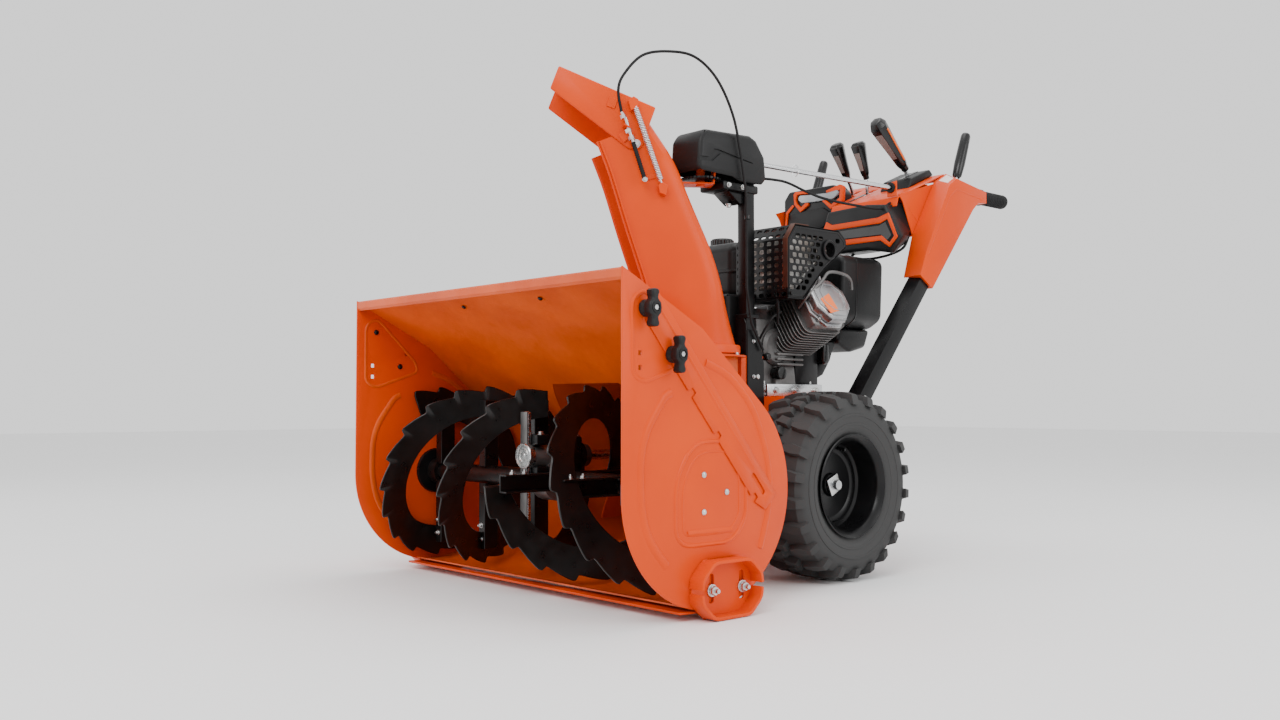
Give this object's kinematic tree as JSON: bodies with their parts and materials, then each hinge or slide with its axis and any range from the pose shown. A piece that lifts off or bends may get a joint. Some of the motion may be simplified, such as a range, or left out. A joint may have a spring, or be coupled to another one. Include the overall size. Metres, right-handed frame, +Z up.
{
  "type": "two stage snowblower",
  "caption": "Walk-behind two stage snowblower with a toothed auger, impeller, turning chute with a tilting hood, engine, tyres, side drift cutters and a control dash.",
  "frame": {"origin": "on the ground, under the middle of the machine's length and width", "axes": "+Z up, -Y the way the machine drives and clears, +X the machine's left"},
  "size_m": [0.9828, 1.56, 1.15],
  "materials": {
    "orange_paint": "satin orange powder coat",
    "shaded_orange_paint": "satin orange powder coat, inside",
    "black_paint": "satin black powder coat",
    "black_plastic": "moulded, lightly grained",
    "rubber": "matt",
    "tyre_rubber": "matt block tread",
    "zinc_plated_steel": "zinc plated",
    "cast_aluminium": "as cast"
  },
  "bodies": {
    "machine": {"auger_housing": "shaded_orange_paint", "left_side_plate": "orange_paint", "right_side_plate": "orange_paint", "scraper_bar": "orange_paint", "left_skid_shoe": "orange_paint", "right_skid_shoe": "orange_paint", "left_drift_cutter": "orange_paint", "right_drift_cutter": "orange_paint", "impeller_housing": "shaded_orange_paint", "gearcase": "cast_aluminium", "drive_belt": "rubber", "belt_cover": "black_plastic", "tractor_frame": "orange_paint", "crankcase": "cast_aluminium", "cylinder": "cast_aluminium", "valve_cover": "zinc_plated_steel", "muffler_guard": "black_paint", "intake_cover": "black_plastic", "fuel_tank": "black_plastic", "recoil_cover": "black_plastic", "left_handle_tube": "black_paint", "right_handle_tube": "black_paint", "left_gusset": "orange_paint", "right_gusset": "orange_paint", "dash_panel": "orange_paint", "headlamp_pod": "black_plastic", "front_fascia": "black_plastic", "left_grip": "rubber", "right_grip": "rubber", "chute_post": "black_paint", "chute_gear_cover": "black_plastic", "deflector_cable": "rubber"},
    "auger": {"auger_shaft": "zinc_plated_steel", "left_auger": "black_paint", "right_auger": "black_paint", "worm_wheel": "zinc_plated_steel"},
    "impeller_set": {"impeller": "shaded_orange_paint", "impeller_shaft": "zinc_plated_steel", "impeller_pulley": "cast_aluminium"},
    "engine_pulley": {"crank_pulley": "cast_aluminium"},
    "left_wheel": {"left_rim": "black_paint", "left_tyre": "tyre_rubber", "axle": "zinc_plated_steel"},
    "right_wheel": {"right_rim": "black_paint", "right_tyre": "tyre_rubber"},
    "turning_chute": {"chute": "orange_paint", "deflector_spring": "zinc_plated_steel"},
    "hood": {"deflector": "orange_paint"},
    "speed_control": {"speed_lever": "black_plastic"},
    "hood_control": {"deflector_lever": "black_plastic"},
    "chute_control": {"chute_lever": "black_plastic"},
    "left_clutch": {"left_clutch_lever": "black_plastic"},
    "right_clutch": {"right_clutch_lever": "black_plastic"},
    "left_upper_nut": {"left_upper_knob": "black_plastic"},
    "left_lower_nut": {"left_lower_knob": "black_plastic"},
    "right_upper_nut": {"right_upper_knob": "black_plastic"},
    "right_lower_nut": {"right_lower_knob": "black_plastic"},
    "tank_cap": {"fuel_cap": "black_plastic"},
    "starter_grip": {"recoil_handle": "rubber"},
    "turning_rod": {"chute_rod": "zinc_plated_steel"}
  },
  "joints": [
    {"name": "auger_spin", "type": "hinge", "parent": "machine", "child": "auger", "pos_m": [0, -0.572, 0.222], "axis": [1, 0, 0], "continuous": true},
    {"name": "impeller_spin", "type": "hinge", "parent": "machine", "child": "impeller_set", "pos_m": [0, -0.1404, 0.27], "axis": [0, 1, 0], "continuous": true},
    {"name": "engine_spin", "type": "hinge", "parent": "machine", "child": "engine_pulley", "pos_m": [0, -0.111, 0.53], "axis": [0, 1, 0], "continuous": true},
    {"name": "left_wheel_spin", "type": "hinge", "parent": "machine", "child": "left_wheel", "pos_m": [0.29, -0.049, 0.203], "axis": [1, 0, 0], "continuous": true},
    {"name": "right_wheel_spin", "type": "hinge", "parent": "machine", "child": "right_wheel", "pos_m": [-0.29, -0.049, 0.203], "axis": [1, 0, 0], "continuous": true},
    {"name": "chute_turn", "type": "hinge", "parent": "machine", "child": "turning_chute", "pos_m": [0.09, -0.23, 0.488], "axis": [0, 0, 1], "range_deg": [-54, 126], "deforming": ["deflector_cable"]},
    {"name": "hood_tilt", "type": "hinge", "parent": "turning_chute", "child": "hood", "pos_m": [0.01947, -0.32708, 0.99], "axis": [0.809, -0.5878, 0], "range_deg": [0, 50], "deforming": ["deflector_spring", "deflector_cable"]},
    {"name": "rod_turn", "type": "hinge", "parent": "machine", "child": "turning_rod", "pos_m": [0.112, -0.0582, 0.933], "axis": [0.1847, 0.9821, -0.0364], "range_deg": [-110, 255]},
    {"name": "speed_select", "type": "hinge", "parent": "machine", "child": "speed_control", "pos_m": [0.13, 0.52, 0.925], "axis": [1, 0, 0], "range_deg": [-16, 18]},
    {"name": "hood_select", "type": "hinge", "parent": "machine", "child": "hood_control", "pos_m": [0.03, 0.46, 0.925], "axis": [1, 0, 0], "range_deg": [-31, 1]},
    {"name": "chute_select", "type": "hinge", "parent": "machine", "child": "chute_control", "pos_m": [-0.035, 0.482, 0.925], "axis": [1, 0, 0], "range_deg": [-26, 11]},
    {"name": "left_clutch_pull", "type": "hinge", "parent": "machine", "child": "left_clutch", "pos_m": [0.237, 0.558, 0.958], "axis": [-1, 0, 0], "range_deg": [0, 60], "stiffness_Nm_per_rad": 0.8, "springref_deg": -28.65},
    {"name": "right_clutch_pull", "type": "hinge", "parent": "machine", "child": "right_clutch", "pos_m": [-0.237, 0.558, 0.958], "axis": [-1, 0, 0], "range_deg": [0, 60], "stiffness_Nm_per_rad": 0.8, "springref_deg": -28.65},
    {"name": "left_upper_nut_turn", "type": "hinge", "parent": "machine", "child": "left_upper_nut", "pos_m": [0.4608, -0.732, 0.541], "axis": [1, 0, 0], "continuous": true},
    {"name": "left_lower_nut_turn", "type": "hinge", "parent": "machine", "child": "left_lower_nut", "pos_m": [0.4608, -0.67, 0.464], "axis": [1, 0, 0], "continuous": true},
    {"name": "right_upper_nut_turn", "type": "hinge", "parent": "machine", "child": "right_upper_nut", "pos_m": [-0.4608, -0.732, 0.541], "axis": [1, 0, 0], "continuous": true},
    {"name": "right_lower_nut_turn", "type": "hinge", "parent": "machine", "child": "right_lower_nut", "pos_m": [-0.4608, -0.67, 0.464], "axis": [1, 0, 0], "continuous": true},
    {"name": "tank_cap_turn", "type": "hinge", "parent": "machine", "child": "tank_cap", "pos_m": [-0.11, 0.046, 0.7654], "axis": [0, 0, 1], "range_deg": [0, 120]},
    {"name": "starter_pull", "type": "slide", "parent": "machine", "child": "starter_grip", "axis": [1, 0, 0], "range_m": [0, 0.15], "stiffness_N_per_m": 20, "springref_m": -0.5}
  ],
  "couplings": [
    {"joint": "impeller_spin", "follows": "auger_spin", "ratio": 10},
    {"joint": "engine_spin", "follows": "auger_spin", "ratio": 21.18},
    {"joint": "rod_turn", "follows": "chute_turn", "ratio": 2},
    {"joint": "chute_select", "follows": "chute_turn", "ratio": -0.2},
    {"joint": "hood_select", "follows": "hood_tilt", "ratio": -0.6}
  ]
}
